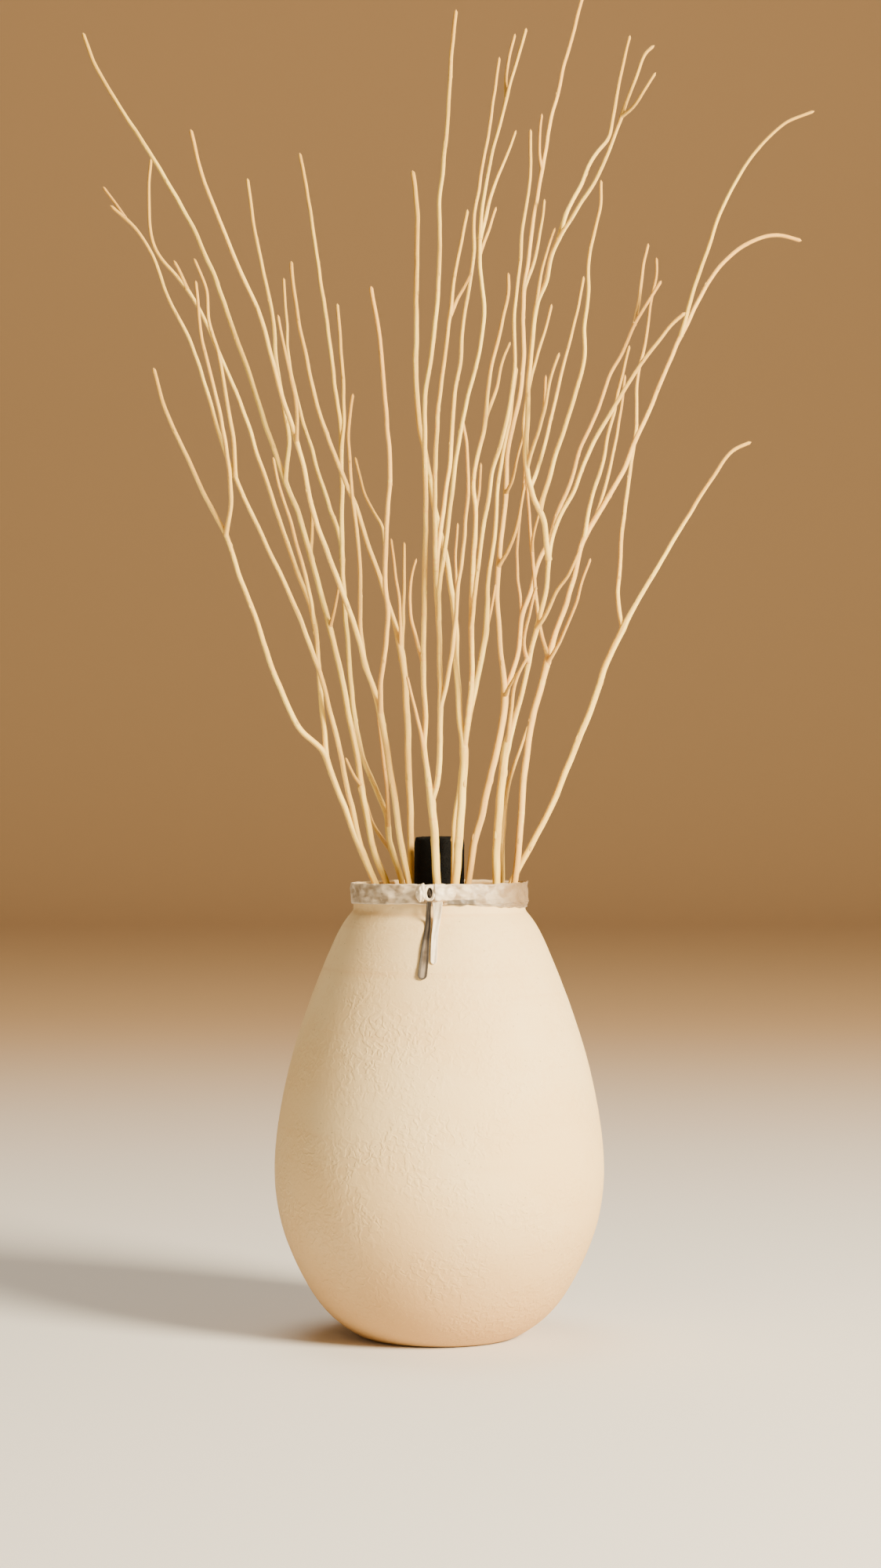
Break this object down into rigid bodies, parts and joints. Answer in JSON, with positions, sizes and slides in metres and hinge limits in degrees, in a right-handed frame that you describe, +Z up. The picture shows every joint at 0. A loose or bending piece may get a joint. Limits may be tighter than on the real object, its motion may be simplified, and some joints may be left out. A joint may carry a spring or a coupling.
{
  "type": "vase of branches",
  "caption": "Round-bellied clay vase with a ribbon tied round its straight collar, holding a wide, tall fan of bare, forked willow branches.",
  "frame": {"origin": "middle of the vase's flat foot, on the surface that it stands on", "axes": "+Z up along the vase's axis, +Y away from the viewer and the ribbon's knot, +X to the viewer's right"},
  "size_m": [0.4257, 0.3118, 0.7911],
  "materials": {
    "clay": "matte, finely pitted",
    "ribbon": "satin",
    "dark_ribbon": "satin",
    "foam": "matte",
    "wood": "bare, bleached"
  },
  "bodies": {
    "root": {"vase": "clay", "neck_band": "ribbon", "ribbon_knot": "ribbon", "light_tail": "ribbon", "dark_tail": "dark_ribbon", "foam_core": "foam", "branch_01": "wood", "branch_02": "wood", "branch_03": "wood", "branch_04": "wood", "branch_05": "wood", "branch_06": "wood", "branch_07": "wood", "branch_08": "wood", "branch_09": "wood", "branch_10": "wood", "branch_11": "wood", "branch_12": "wood", "branch_13": "wood"}
  },
  "joints": []
}
